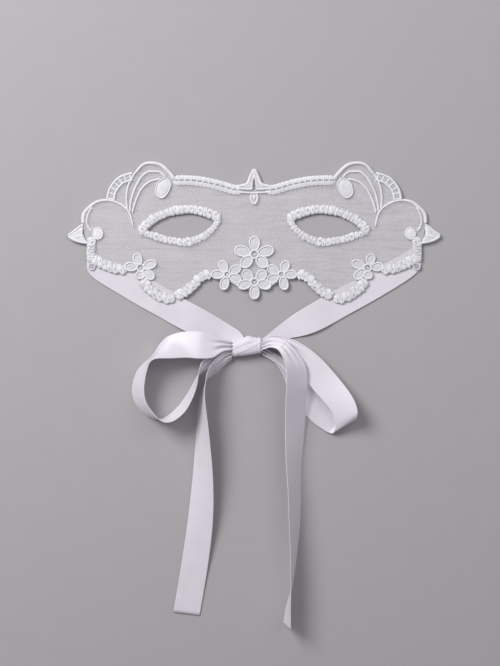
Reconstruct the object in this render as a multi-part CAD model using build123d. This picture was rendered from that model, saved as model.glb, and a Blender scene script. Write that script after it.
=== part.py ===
from build123d import *
import math
import os

# A lace eye mask with satin ribbon ties, lying face up with its ribbon tied in a bow.
# X runs across the mask, +Y towards the brow and +Z out of its face. Millimetres.
# The origin is on the back of the small drop under the brow finial.

# Ribbon
ribbon_width = 16.0
ribbon_thickness = 0.4

# Heights above the surface the mask lies on. The lower hem and side bands lie over the ribbon.
overlay_gap = 0.35
overlay_low = ribbon_thickness + overlay_gap
net_lift = 0.15
net_low = overlay_low + net_lift
net_thickness = 0.3
lace_top = 2.2
cord_top = 1.8
stitch_height = 0.3

# Widths of the embroidered lines
brow_width = 6.0
edging_width = 5.6
band_width = 5.4
scroll_width = 2.4
cord_width = 1.3
petal_width = 6.2
knob_radius = 3.9

# The seam line on which the strap swings, and the knot
hinge_y = -33.8
seam_gap = 0.6
seam_pitch = 1.7
stitch_count = 4
stitch_length = 3.4
stitch_width = 0.6
knot_length = 17.6
knot_depth = 10.4
knot_height = 6.8
knot_round = 1.8
knot_centre = (-4.4, -88.2)

# Gaps left at the knot's ends for the loops and tails, which move there
loop_gap = 0.4
tail_gap = 0.8


def catmull(a, b, c, d, t):
    """One number on the smooth curve from b to c, with neighbours a and d."""
    bend = 2 * a - 5 * b + 4 * c - d
    twist = 3 * b - a - 3 * c + d
    return 0.5 * (2 * b + (c - a) * t + bend * t**2 + twist * t**3)


def smooth(points, closed=False, steps=3):
    """Points on a smooth curve that passes through the given ones."""
    last = len(points) - 1
    spans = last + 1 if closed else last
    curve = []
    for i in range(spans):
        if closed:
            near = [points[(i + k) % len(points)] for k in (-1, 0, 1, 2)]
        else:
            near = [points[min(max(i + k, 0), last)] for k in (-1, 0, 1, 2)]
        for step in range(steps):
            t = step / steps
            curve.append(tuple(catmull(*column, t) for column in zip(*near)))
    if not closed:
        curve.append(tuple(points[-1]))
    return curve


def mirrored(points):
    """The same outline on the other side of the mask."""
    return [(-x, y) for x, y in points]


def sheet(outline):
    """A flat face inside a closed outline."""
    return make_face(Polyline(*outline, close=True))


def line_band(points, width, end_width=None):
    """A flat band along a smooth line, which may taper to another width."""
    line = smooth(points)
    last_width = width if end_width is None else end_width
    left, right = [], []
    for i, (x, y) in enumerate(line):
        before = line[max(i - 1, 0)]
        after = line[min(i + 1, len(line) - 1)]
        run = math.dist(before, after)
        half = 0.5 * (width + (last_width - width) * i / (len(line) - 1))
        across_x = -(after[1] - before[1]) / run * half
        across_y = (after[0] - before[0]) / run * half
        left.append((x + across_x, y + across_y))
        right.append((x - across_x, y - across_y))
    return sheet(left + right[::-1])


def raised(face, low, high):
    """A flat face given its thickness between two heights."""
    return Pos(0, 0, low) * extrude(face, amount=high - low, dir=(0, 0, 1))


# ---- Net ----

# Half of the net's outline, from the middle of the brow round to the middle below the nose
net_half = [
    (-8.5, 6.3), (-17.5, 7.5), (-29.5, 10.5), (-38.5, 11.7), (-47.5, 11.7),
    (-52.0, 17.5), (-57.4, 21.7), (-61.6, 22.0), (-66.4, 20.9), (-71.8, 14.6),
    (-75.0, 14.4), (-79.9, 12.2), (-83.8, 8.4), (-86.0, 4.0), (-86.8, -0.6), (-88.9, -0.9),
    (-93.7, -1.6), (-97.9, -4.4), (-101.7, -9.0), (-102.7, -15.6), (-101.2, -23.4),
    (-97.9, -27.6), (-97.3, -35.2), (-93.1, -37.1), (-87.3, -40.1), (-81.5, -41.6),
    (-75.8, -41.3), (-71.5, -43.2), (-67.3, -45.6), (-64.3, -51.6), (-60.5, -55.4),
    (-55.6, -58.3), (-50.2, -59.2), (-46.9, -57.0), (-42.7, -54.0), (-37.9, -51.0),
    (-33.7, -47.4), (-29.5, -44.7), (-24.7, -44.7), (-18.7, -49.8), (-13.3, -49.2),
    (-6.7, -53.2),
]

# An eye opening, from its outer corner over the top, and the outside of its edging
eye_hole = [
    (-63.7, -18.0), (-56.2, -12.2), (-48.5, -9.2), (-39.1, -8.2), (-31.3, -9.5),
    (-24.2, -12.8), (-26.8, -16.4), (-30.2, -19.1), (-35.2, -21.6), (-42.8, -23.2),
    (-52.4, -21.8), (-58.1, -19.9),
]
eye_outside = [
    (-70.7, -18.6), (-62.3, -9.5), (-56.2, -6.5), (-48.5, -4.2), (-40.3, -3.2),
    (-33.2, -3.7), (-27.5, -5.0), (-22.6, -7.3), (-18.2, -10.8), (-21.0, -15.3),
    (-25.6, -21.4), (-31.3, -24.9), (-37.1, -27.4), (-42.1, -28.0), (-48.5, -27.0),
    (-56.2, -25.3), (-63.8, -22.6),
]


def net_panel():
    """The tulle ground: one sheet with two eye openings."""
    outline = net_half + [(0.0, -54.6)] + mirrored(net_half)[::-1]
    net = sheet(outline)
    for hole in (smooth(eye_hole, closed=True), smooth(mirrored(eye_hole), closed=True)):
        net -= sheet(hole)
    return raised(net, net_low, net_low + net_thickness)


# ---- Embroidery, drawn flat on the left half ----

def finial_face():
    """The crown at the middle of the brow, with its upright slot."""
    half = [(-3.5, 13.7), (-5.0, 9.9), (-8.4, 8.4), (-8.2, 3.0)]
    crown = sheet([(0.0, 19.1)] + half + mirrored(half)[::-1])
    return crown - Pos(0, 8.0) * Rectangle(2.4, 7.0)


def drop_face():
    """The small drop that hangs under the finial."""
    return sheet([(-3.1, 0.6), (-1.7, 2.7), (1.7, 2.7), (3.1, 0.6), (2.1, -1.6), (0.0, -3.5), (-2.1, -1.6)])


def brow_face():
    middle = [(-47.0, 11.8), (-38.5, 11.6), (-30.4, 10.7), (-22.8, 9.1), (-16.9, 7.6), (-8.3, 5.4)]
    return line_band(middle, brow_width)


def bulb_face():
    """The comma at the inner end of the scroll."""
    outline = [
        (-52.9, 13.5), (-49.7, 10.4), (-50.0, 7.1), (-51.8, 3.4), (-54.9, 0.7),
        (-58.0, 1.6), (-59.5, 4.3), (-58.9, 8.6), (-57.4, 11.1),
    ]
    return sheet(smooth(outline, closed=True))


def arch_face():
    """The tall arch of the scroll and the cord that runs on down from it."""
    over = [
        (-47.8, 12.3), (-50.8, 16.2), (-55.9, 20.8), (-61.9, 22.1),
        (-66.6, 21.0), (-70.4, 17.1), (-72.1, 15.3),
    ]
    down = [(-72.1, 15.3), (-74.9, 9.8), (-76.4, 3.7), (-76.4, -2.4), (-75.8, -5.5)]
    return line_band(over, scroll_width, cord_width) + line_band(down, cord_width)


def ladder_face():
    """The crescent beside the arch, pierced by a row of windows."""
    middle = [(-86.1, -0.4), (-85.3, 4.2), (-83.2, 8.1), (-79.6, 11.7), (-74.5, 13.6), (-72.0, 13.7)]
    face = line_band(middle, band_width)
    windows = [(-85.4, 2.4), (-84.0, 6.2), (-81.2, 9.8), (-77.8, 12.2)]
    for x, y in windows:
        face -= Pos(x, y) * Circle(0.9)
    return face


def stems_face():
    """Two thin stems that rise from the outer eye corner into the scroll."""
    outer = [
        (-53.1, 13.6), (-56.2, 16.4), (-60.7, 17.0), (-63.8, 16.6), (-67.5, 13.6),
        (-70.9, 8.0), (-73.0, 2.5), (-74.3, -3.6), (-74.2, -7.0),
    ]
    inner = [
        (-56.2, 12.6), (-60.1, 11.7), (-63.8, 10.1), (-67.5, 6.5),
        (-69.9, 1.9), (-71.8, -3.0), (-73.0, -7.9),
    ]
    return line_band(outer, cord_width) + line_band(inner, cord_width)


def shoulder_face():
    """The arc over the cheek wing, with its inner cord down to the knob."""
    arc = [
        (-102.6, -14.4), (-102.2, -8.5), (-98.2, -3.9), (-93.9, -1.1), (-89.0, -0.2),
        (-84.7, -0.7), (-80.7, -2.4), (-77.0, -4.9), (-74.6, -8.2), (-73.4, -12.2), (-72.5, -16.4),
    ]
    inner = [(-97.4, -4.9), (-99.6, -8.6), (-100.5, -12.8), (-99.7, -16.1), (-97.6, -19.0)]
    return line_band(arc, scroll_width, cord_width) + line_band(inner, cord_width)


def wing_face():
    """The pointed tip at the side."""
    return sheet([
        (-112.4, -21.4), (-108.0, -18.3), (-104.0, -15.2), (-101.6, -14.4), (-102.5, -20.2),
        (-100.6, -23.8), (-98.6, -26.6), (-105.2, -25.7), (-109.2, -24.1),
    ])


def knob_face():
    return Pos(-93.7, -20.4) * Circle(knob_radius)


def side_band_face():
    """The upright band that covers the ribbon's sewn end."""
    return line_band([(-97.4, -22.0), (-97.6, -33.6), (-97.3, -40.8)], band_width)


def eye_edging_face():
    return sheet(smooth(eye_outside, closed=True)) - sheet(smooth(eye_hole, closed=True))


def cheek_edging_face():
    """The scalloped hem round the cheek lobe, in two runs either side of its flower."""
    side = [(-96.8, -34.8), (-93.1, -37.1), (-87.3, -40.1), (-81.5, -41.6), (-75.8, -41.3)]
    lobe = [(-66.9, -47.4), (-64.3, -51.6), (-60.5, -55.4), (-55.6, -58.3), (-50.2, -59.2), (-47.8, -58.2)]
    return line_band(side, edging_width) + line_band(lobe, edging_width)


def nose_edging_face():
    """The hem from the cheek lobe up to the flowers under the nose."""
    run = [(-47.4, -57.6), (-42.7, -54.0), (-37.9, -51.0), (-33.7, -47.4), (-30.7, -44.9), (-26.1, -44.4)]
    bridge = [(-13.9, -48.7), (-6.8, -53.2)]
    return line_band(run, edging_width) + line_band(bridge, cord_width)


def petal_face(centre, tip):
    """A leaf-shaped petal from a flower's ring to its tip."""
    run_x, run_y = tip[0] - centre[0], tip[1] - centre[1]
    length = math.hypot(run_x, run_y)
    shape = [(0.12, 0.25), (0.35, 0.75), (0.62, 1.0), (0.84, 0.75), (1.0, 0.0)]
    sides = []
    for side in (1, -1):
        half = side * petal_width / 2 / length
        row = [
            (centre[0] + run_x * along - run_y * wide * half, centre[1] + run_y * along + run_x * wide * half)
            for along, wide in shape
        ]
        sides += row if side == 1 else row[-2::-1]
    return sheet(sides)


def flower_face(centre, ring_radius, tips):
    """Five petals round a ring with an open middle."""
    face = Pos(*centre) * Circle(ring_radius)
    for tip in tips:
        face += petal_face(centre, tip)
    return face - Pos(*centre) * Circle(ring_radius * 0.4)


nose_top_tips = [(0.2, -21.6), (-12.0, -29.6), (12.0, -29.6), (-7.8, -40.3), (7.8, -40.3)]
nose_side_tips = [(-19.9, -36.4), (-7.9, -39.9), (-26.0, -44.7), (-7.6, -48.7), (-18.8, -54.2)]
nose_bottom_tips = [(-6.8, -42.4), (7.2, -42.4), (-10.0, -51.8), (10.4, -51.8), (0.2, -59.8)]
cheek_tips = [(-71.0, -32.1), (-58.4, -37.4), (-59.9, -47.4), (-77.8, -39.8), (-68.5, -47.8)]


def embroidery():
    """Every embroidered piece: its face, its lowest height and its top. Each stops at those before it."""
    centre = {
        "centre_finial": (finial_face(), 0.0, lace_top),
        "finial_drop": (drop_face(), 0.0, lace_top),
        "nose_flower_top": (flower_face((0.2, -32.6), 2.7, nose_top_tips), overlay_low, lace_top),
    }
    left = {
        "nose_flower": (flower_face((-16.3, -44.7), 2.2, nose_side_tips), overlay_low, lace_top),
        "brow_band": (brow_face(), 0.0, lace_top),
        "scroll_bulb": (bulb_face(), 0.0, lace_top),
        "scroll_arch": (arch_face(), 0.0, lace_top),
        "ladder_scallop": (ladder_face(), 0.0, lace_top),
        "scroll_stems": (stems_face(), 0.0, cord_top),
        "eye_edging": (eye_edging_face(), 0.0, lace_top),
        "side_knob": (knob_face(), 0.0, lace_top),
        "wing_tip": (wing_face(), overlay_low, lace_top),
        "shoulder_arc": (shoulder_face(), 0.0, cord_top),
        "side_band": (side_band_face(), overlay_low, lace_top),
        "cheek_flower": (flower_face((-68.0, -40.7), 2.5, cheek_tips), overlay_low, lace_top),
        "cheek_edging": (cheek_edging_face(), overlay_low, lace_top),
        "nose_edging": (nose_edging_face(), overlay_low, lace_top),
    }
    pieces, taken = {}, None
    for name, (face, low, high) in centre.items():
        face = face if taken is None else face - taken
        taken = face if taken is None else taken + face
        pieces[name] = raised(face, low, high)
    for name, (face, low, high) in left.items():
        face -= taken
        taken += face
        solid = raised(face, low, high)
        pieces["left_" + name] = solid
        pieces["right_" + name] = mirror(solid, about=Plane.YZ)
    bottom = flower_face((0.2, -49.3), 2.5, nose_bottom_tips) - taken - mirror(taken, about=Plane.YZ)
    pieces["nose_flower_bottom"] = raised(bottom, overlay_low, lace_top)
    return pieces


# ---- Ribbon ----

# The sewn ends stop above the seam line and the ties start below it
tab_y = hinge_y + seam_gap / 2
tie_y = hinge_y - seam_gap / 2
left_tab = [(-100.3, -26.4), (-98.5, -26.4), (-95.5, -30.0), (-93.7, tab_y), (-100.3, tab_y)]
right_tab = [(100.1, -24.9), (99.5, -24.9), (95.3, -28.6), (86.0, tab_y), (100.1, tab_y)]

left_tie_outline = [
    (-100.3, tie_y), (-100.3, -41.4), (-97.9, -45.3), (-93.1, -49.2), (-83.9, -54.8),
    (-70.1, -63.0), (-56.3, -70.6), (-42.5, -78.2), (-29.5, -83.1), (-19.3, -86.1),
    (-10.9, -87.0), (-4.9, -84.8), (-6.0, -80.9), (-14.9, -74.8), (-28.7, -66.5),
    (-40.4, -60.2), (-56.5, -50.7), (-71.5, -42.6), (-81.7, -38.2), (-87.8, -36.1),
    (-92.8, tie_y),
]
right_tie_outline = [
    (100.1, tie_y), (100.1, -39.6), (96.0, -45.1), (87.1, -51.3), (73.3, -59.6),
    (56.0, -69.2), (42.2, -76.8), (31.9, -80.9), (21.6, -83.0), (12.5, -84.6), (2.3, -87.0),
    (-1.5, -85.0), (5.0, -83.0), (14.7, -75.4), (25.0, -67.9), (39.5, -59.2), (48.5, -54.1),
    (60.8, -47.9), (78.1, -38.2), (86.0, tie_y),
]

def held_edge(x, edge_y, low, turn, tilt, gather):
    """A station given by its lower edge, so that a wider ribbon grows away from the tail beside it."""
    return (x, edge_y + ribbon_width * gather / 2, low, turn, tilt, gather)


# Stations of each free ribbon: middle x and y, height of its underside, direction in plan from
# one edge to the other, tilt out of the surface, and how much of the width is left by gathering.
left_end = knot_centre[0] - knot_length / 2
right_end = knot_centre[0] + knot_length / 2
left_loop_stations = [
    (left_end - loop_gap, -87.3, 5.1, -90, 8, 0.33), held_edge(-19.0, -91.2, 6.2, -88, 8, 0.52),
    held_edge(-25.0, -94.6, 7, -88, 6, 0.87), held_edge(-32.5, -95.0, 7.6, -90, 3, 1),
    held_edge(-41.5, -94.8, 7.4, -82, 8, 1), (-49.6, -88.2, 4.6, -75, 31, 1),
    (-55.3, -90.4, 1.6, -75, 56, 1), (-59.2, -93.1, 0.3, -72, 75, 1),
    (-62.1, -95.8, 0.1, -60, 81, 1), (-64.6, -98.9, 0.1, -28, 75, 1),
    (-67.3, -103.8, 0, -10, 65, 1), (-69.1, -111.0, 0, 0, 59.6, 1),
    (-68.9, -117.6, 0, 0, 59, 1), (-66.7, -123.0, 0, 9, 62, 1),
    (-62.8, -127.5, 0, 25, 69, 1), (-58.9, -130.2, 0, 50, 79, 1),
    (-55.6, -131.2, 0, 80, 90, 1), (-52.2, -131.3, 0, 120, 101, 1),
    (-48.3, -129.5, 0, 138, 107, 1), (-43.0, -124.6, 0, 146, 109, 1),
    (-38.6, -117.8, 0, 150, 106, 1), (-35.5, -111.0, 0, 152, 101, 1),
    (-33.7, -105.9, 0, 148, 94, 0.95), (-31.6, -101.7, 0.3, 138, 78, 0.7),
    (-28.1, -97.6, 0.6, 122, 40, 0.5), (-21.4, -93.0, 0.9, 110, 15, 0.36),
    (left_end - loop_gap, -89.7, 1, 92, 5, 0.3),
]
left_tail_stations = [
    (left_end - tail_gap, -92.7, 2.5, 100, 12, 0.32), (-16.9, -94.2, 1.9, 112, 28, 0.45),
    (-21.1, -97.8, 0.9, 118, 53, 0.65), (-25.0, -101.7, 0.4, 125, 70, 0.85),
    (-27.3, -105.3, 0.1, 145, 82, 0.95), (-28.6, -108.3, 0, 160, 90, 1),
    (-29.8, -112.2, 0, 172, 95, 1), (-30.7, -117.6, 0, 180, 100.5, 1),
    (-31.0, -122.4, 0, 180, 106, 1), (-30.8, -134.4, 0, 180, 116, 1),
    (-30.7, -147.0, 0, 180, 126, 1), (-30.7, -166.8, 0, 176, 142, 1),
    (-32.2, -192.0, 0, 173, 162, 1), (-35.8, -219.6, 0, 171, 178, 1),
    (-40.6, -248.2, 0, 173, 180, 1),
]
right_tail_stations = [
    (right_end + tail_gap, -87.0, 4.8, -90, 5, 0.35), (9.5, -85.2, 5.6, -95, 30, 0.45),
    (14.6, -86.2, 6.6, -120, 40, 0.52), (18.2, -88.8, 7.2, -145, 43, 0.65),
    (21.5, -93.3, 7.3, -162, 43, 0.8), (24.8, -100.2, 7.4, -176, 38, 0.95),
    (25.4, -109.8, 6.7, -180, 36.7, 1), (24.8, -120.0, 4.8, -180, 38.6, 1),
    (24.5, -130.8, 2.6, -180, 40, 1), (24.1, -144.0, 0.8, -178, 45, 1),
    (23.6, -159.0, 0.1, -178, 54, 1), (23.9, -173.4, 0, -179, 60, 1),
    (23.9, -192.0, 0, -182, 65, 1), (23.3, -211.2, 0, -183, 76, 1),
    (22.0, -231.6, 0, -185, 87, 1), (20.3, -243.6, 0, -186, 98, 1),
    (19.5, -254.0, 0, -195, 105, 1),
]
right_loop_stations = [
    (right_end + loop_gap, -86.4, 3, -90, 5, 0.34), (9.8, -84.2, 3.3, -88, 6, 0.36),
    (16.1, -85.0, 3.7, -100, 5, 0.42), (23.0, -88.5, 4, -118, 4, 0.56),
    (29.1, -93.9, 4.3, -130, 3, 0.76), (35.1, -100.9, 4.6, -136, 2, 0.95),
    (41.0, -108.0, 5, -140, 0, 1), (47.3, -115.6, 5.8, -147, -8, 1),
    (52.0, -122.1, 6.2, -152, -18, 1), (54.4, -127.8, 6, -154, -24, 1),
    (54.8, -132.0, 5, -152, -25, 1), (53.8, -135.3, 2.8, -147, -18, 1),
    (51.5, -135.0, 0.8, -143, -10, 1), (47.3, -132.6, 0.1, -140, -4, 1),
    (39.5, -126.6, 0, -139, 0, 1), (32.3, -118.2, 0, -148, 0, 0.98),
    (26.3, -109.8, 0, -158, 0, 0.85), (20.9, -102.3, 0.1, -156, 2, 0.55),
    (14.0, -95.7, 0.5, -130, 4, 0.32), (right_end + loop_gap, -90.3, 0.8, -92, 5, 0.3),
]


def ribbon_edges(station):
    """The two edge points of a ribbon at one station."""
    x, y, low, turn, tilt, gather = station
    width = ribbon_width * gather
    across = width / 2 * math.cos(math.radians(tilt))
    rise = width * math.sin(math.radians(tilt))
    step = Vector(across * math.cos(math.radians(turn)), across * math.sin(math.radians(turn)), 0)
    middle = low + ribbon_thickness / 2
    first = Vector(x, y, middle + max(0.0, -rise)) - step
    second = Vector(x, y, middle + max(0.0, rise)) + step
    return first, second


def ribbon_solid(stations):
    """A thin closed strip through its stations, made of flat triangles."""
    edges = [ribbon_edges(station) for station in smooth(stations)]
    middles = [(first + second) * 0.5 for first, second in edges]
    rings = []
    for i, (first, second) in enumerate(edges):
        along = middles[min(i + 1, len(edges) - 1)] - middles[max(i - 1, 0)]
        lift = along.cross(second - first).normalized() * (ribbon_thickness / 2)
        rings.append([first + lift, second + lift, second - lift, first - lift])
    triangles = []
    for (a, b, c, d), (e, f, g, h) in zip(rings, rings[1:]):
        # Face and back are split along the same diagonal, so the strip keeps its thickness.
        triangles += [(a, b, f), (a, f, e), (d, g, c), (d, h, g)]
        triangles += [(b, c, g), (b, g, f), (d, a, e), (d, e, h)]
    for a, b, c, d in (rings[0], rings[-1]):
        triangles += [(a, b, c), (a, c, d)]
    faces = [Face(Wire.make_polygon(list(corners), close=True)) for corners in triangles]
    return Solid(Shell(faces))


def flat_ribbon(outline):
    return raised(sheet(outline), 0.0, ribbon_thickness)


def sewn_end(outline):
    """The ribbon's end, turned under and sewn below the side band."""
    return raised(sheet(outline), 0.0, overlay_low)


def bow_knot():
    """The wrap of ribbon round the middle of the bow."""
    block = Box(knot_length, knot_depth, knot_height)
    block = fillet(block.edges().filter_by(Axis.X), knot_round)
    return Pos(knot_centre[0], knot_centre[1], knot_height / 2) * block


def seam_stitches():
    """Short stitches that hold the left sewn end to its side band."""
    first = hinge_y + 0.9
    bars = [
        Pos(-97.4, first + seam_pitch * i, lace_top + stitch_height / 2)
        * Box(stitch_length, stitch_width, stitch_height)
        for i in range(stitch_count)
    ]
    return Compound(children=bars)


nodes = {
    "net_panel": net_panel(),
    **embroidery(),
    "left_tie_end": sewn_end(left_tab),
    "right_tie_end": sewn_end(right_tab),
    "left_seam_stitches": seam_stitches(),
    "right_seam_stitches": mirror(seam_stitches(), about=Plane.YZ),
    "left_tie": flat_ribbon(left_tie_outline),
    "right_tie": flat_ribbon(right_tie_outline),
    "bow_knot": bow_knot(),
    "left_loop": ribbon_solid(left_loop_stations),
    "right_loop": ribbon_solid(right_loop_stations),
    "left_tail": ribbon_solid(left_tail_stations),
    "right_tail": ribbon_solid(right_tail_stations),
}

os.makedirs("parts", exist_ok=True)
for name, shape in nodes.items():
    export_step(shape, f"parts/{name}.step")
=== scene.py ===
import bpy
import math
import numpy as np
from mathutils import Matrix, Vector, geometry


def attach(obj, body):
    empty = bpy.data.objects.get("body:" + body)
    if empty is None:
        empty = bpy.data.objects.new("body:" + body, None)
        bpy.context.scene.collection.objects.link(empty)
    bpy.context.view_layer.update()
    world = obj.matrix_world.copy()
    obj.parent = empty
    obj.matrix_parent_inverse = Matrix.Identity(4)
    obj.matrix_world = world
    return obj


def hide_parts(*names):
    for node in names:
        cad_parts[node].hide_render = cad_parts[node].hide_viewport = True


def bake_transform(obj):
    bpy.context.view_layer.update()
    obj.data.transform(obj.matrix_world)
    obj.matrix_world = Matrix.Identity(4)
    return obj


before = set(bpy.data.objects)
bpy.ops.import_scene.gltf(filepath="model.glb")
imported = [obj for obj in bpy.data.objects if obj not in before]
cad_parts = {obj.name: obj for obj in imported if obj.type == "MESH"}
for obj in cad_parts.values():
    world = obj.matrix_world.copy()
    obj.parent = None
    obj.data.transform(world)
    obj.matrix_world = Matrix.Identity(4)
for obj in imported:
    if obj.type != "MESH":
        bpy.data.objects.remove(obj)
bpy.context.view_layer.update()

# A lace eye mask with satin ties. The lace and ribbon are drawn below in millimetres,
# with X across the mask, +Y to the brow and +Z out of its face, and made in metres.
metre = 0.001


# lines and meshes

# a smooth curve through given points
def smoothLine(points, closed=False, steps=10):
    points = np.array(points, float)
    before, after = (points[-1:], points[:2]) if closed else (points[:1], points[-1:])
    run = np.vstack([before, points, after])
    t = np.arange(steps)[:, None] / steps
    rows = []
    for a, b, c, d in zip(run, run[1:], run[2:], run[3:]):
        bend = 2 * a - 5 * b + 4 * c - d
        twist = 3 * b - a - 3 * c + d
        rows.append(0.5 * (2 * b + (c - a) * t + bend * t**2 + twist * t**3))
    if not closed:
        rows.append(points[-1:])
    return np.concatenate(rows)


def distances(line):
    steps = np.linalg.norm(np.diff(line, axis=0), axis=1)
    return np.r_[0, np.cumsum(steps)]


# the same line with its points an even step apart
def evenly(line, step, closed=False, count=None):
    run = np.vstack([line, line[:1]]) if closed else line
    length = distances(run)
    count = count or max(int(round(length[-1] / step)), 4)
    at = np.linspace(0, length[-1], count + 1)
    if closed:
        at = at[:-1]
    return np.stack([np.interp(at, length, run[:, k]) for k in range(run.shape[1])], axis=1)


# the two sides of a line with a width, which may change along it
def sidesOf(line, width, closed=False):
    if closed:
        along = np.roll(line, -1, 0) - np.roll(line, 1, 0)
    else:
        along = np.gradient(line, axis=0)
    along /= np.linalg.norm(along, axis=1)[:, None]
    across = np.stack([-along[:, 1], along[:, 0]], axis=1)
    half = np.broadcast_to(np.asarray(width, float), (len(line),))[:, None] / 2
    return line - across * half, line + across * half


# a piece before it becomes a mesh
def newWork():
    return {"points": [], "faces": [], "tone": [], "weave": [], "count": 0}


# a skin over rows and columns of points
def addGrid(work, grid, tone, wrapAlong=False, wrapAcross=True, weave=None):
    rows, cols = grid.shape[:2]
    index = np.arange(rows * cols).reshape(rows, cols) + work["count"]
    first, last = index[0].tolist(), index[-1].tolist()
    if wrapAlong:
        index = np.vstack([index, index[:1]])
    if wrapAcross:
        index = np.hstack([index, index[:, :1]])
    quads = np.stack([index[:-1, :-1], index[1:, :-1], index[1:, 1:], index[:-1, 1:]], -1)
    work["faces"] += quads.reshape(-1, 4).tolist()
    if wrapAcross and not wrapAlong:
        work["faces"] += [first, last[::-1]]
    work["points"].append(grid.reshape(-1, 3))
    work["tone"].append(np.broadcast_to(tone, (rows, cols)).reshape(-1))
    if weave is not None:
        work["weave"].append(weave.reshape(-1, 2))
    work["count"] += rows * cols


# the finished piece, mirrored for the right half where asked
def makePiece(work, name, material, mirror=False):
    points = np.concatenate(work["points"]) * metre
    faces = work["faces"]
    if mirror:
        points = points * np.array([-1.0, 1.0, 1.0])
        faces = [face[::-1] for face in faces]
    mesh = bpy.data.meshes.new(name)
    mesh.from_pydata(points.tolist(), [], faces)
    tone = mesh.attributes.new("tone", "FLOAT", "POINT")
    tone.data.foreach_set("value", np.concatenate(work["tone"]).astype(np.float32))
    if work["weave"]:
        flat = np.concatenate(work["weave"])
        corners = np.empty(len(mesh.loops), int)
        mesh.loops.foreach_get("vertex_index", corners)
        mesh.uv_layers.new(name="weave").data.foreach_set("uv", flat[corners].ravel().astype(np.float32))
    mesh.polygons.foreach_set("use_smooth", np.ones(len(mesh.polygons), bool))
    mesh.materials.append(material)
    mesh.validate()
    piece = bpy.data.objects.new(name, mesh)
    bpy.context.scene.collection.objects.link(piece)
    return piece


# a wave with squarer or rounder turns
def squared(wave, power):
    return np.sign(wave) * np.abs(wave) ** power


# materials

def newMaterial(name):
    material = bpy.data.materials.new(name)
    material.use_nodes = True
    tree = material.node_tree
    shader = tree.nodes["Principled BSDF"]
    return material, tree, shader


def addNode(tree, kind, **settings):
    node = tree.nodes.new(kind)
    for key, value in settings.items():
        if key in node.inputs:
            node.inputs[key].default_value = value
        else:
            setattr(node, key, value)
    return node


def setSockets(shader, **values):
    for name, value in values.items():
        shader.inputs[name.replace("_", " ")].default_value = value


def mathNode(tree, operation, first, second=None, clamp=False):
    node = tree.nodes.new("ShaderNodeMath")
    node.operation = operation
    node.use_clamp = clamp
    for socket, value in zip(node.inputs, (first, second)):
        if value is None:
            continue
        if isinstance(value, (int, float)):
            socket.default_value = value
        else:
            tree.links.new(value, socket)
    return node.outputs[0]


def times(tree, first, second, clamp=False):
    return mathNode(tree, "MULTIPLY", first, second, clamp)


def plus(tree, first, second, clamp=False):
    return mathNode(tree, "ADD", first, second, clamp)


def mixColour(tree, factor, first, second):
    node = tree.nodes.new("ShaderNodeMix")
    node.data_type = "RGBA"
    for socket, value in zip((node.inputs[0], node.inputs[6], node.inputs[7]), (factor, first, second)):
        if isinstance(value, (int, float, tuple)):
            socket.default_value = value
        else:
            tree.links.new(value, socket)
    return node.outputs[2]


def addNoise(tree, vector, scale, detail=2.0):
    noise = addNode(tree, "ShaderNodeTexNoise", Scale=scale, Detail=detail)
    tree.links.new(vector, noise.inputs["Vector"])
    return noise


# a noise as a change up and down
def drift(tree, noise, strength):
    return times(tree, mathNode(tree, "SUBTRACT", noise.outputs[0], 0.5), strength)


def darker(colour, share):
    return tuple(share * c for c in colour[:3]) + (1,)


threadLook = {
    "light": (0.86, 0.85, 0.87, 1),
    "shade": (0.24, 0.22, 0.27, 1),
    "fibre": 2600.0,  # fibres per metre, for the fuzz on the thread
    "fuzz": 0.35,
    "fuzzDepth": 0.0001,
    "grain": 0.4,  # how much the fibres change its brightness
    "patch": 260.0,  # duller and brighter patches per metre
    "patchy": 0.35,
    "roughness": 0.62,
    "sheen": 0.25,
}


# rayon embroidery thread: bright on its ridges, greyer between them, as painted highlights and painted shade
# that its tone attribute carries
def embroideryThread(name, look):
    material, tree, shader = newMaterial(name)
    link = tree.links.new
    place = addNode(tree, "ShaderNodeTexCoord").outputs["Object"]
    tone = addNode(tree, "ShaderNodeAttribute", attribute_name="tone")
    patches = addNoise(tree, place, look["patch"], 3.0)
    fibres = addNoise(tree, place, look["fibre"])
    bump = addNode(tree, "ShaderNodeBump", Strength=look["fuzz"], Distance=look["fuzzDepth"])
    patchy = drift(tree, patches, look["patchy"])
    grain = drift(tree, fibres, look["grain"])
    # the tone attribute brings in the stitches' painted highlights and painted shade
    level = plus(tree, plus(tree, tone.outputs["Fac"], patchy), grain, clamp=True)
    link(mixColour(tree, level, look["shade"], look["light"]), shader.inputs["Base Color"])
    link(fibres.outputs[0], bump.inputs["Height"])
    link(bump.outputs[0], shader.inputs["Normal"])
    setSockets(shader, Roughness=look["roughness"], Sheen_Weight=look["sheen"])
    return material


tulleLook = {
    "colour": (0.90, 0.87, 0.92, 1),
    "cell": (0.95, 0.62),  # mm, along and across the mask
    "thread": 0.09,
    "lean": 0.07,  # mm, how far its upright threads lean in and out
    "veil": 0.15,  # how much the fuzz of the threads covers of each hole
    "cover": 0.35,  # what is even in it, before slubs and the painted light and shade of crosswise wrinkles
    "slub": 420.0,  # per metre
    "slubs": 0.3,
    # painted light and shade of fine crosswise wrinkles: how fine they are, and how strong
    "wrinkleShadeScale": (55.0, 520.0, 1.0),  # per metre across, down and up
    "wrinkleShade": 1.0,
    "roughness": 0.55,
    "sheen": 0.2,
}


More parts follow.
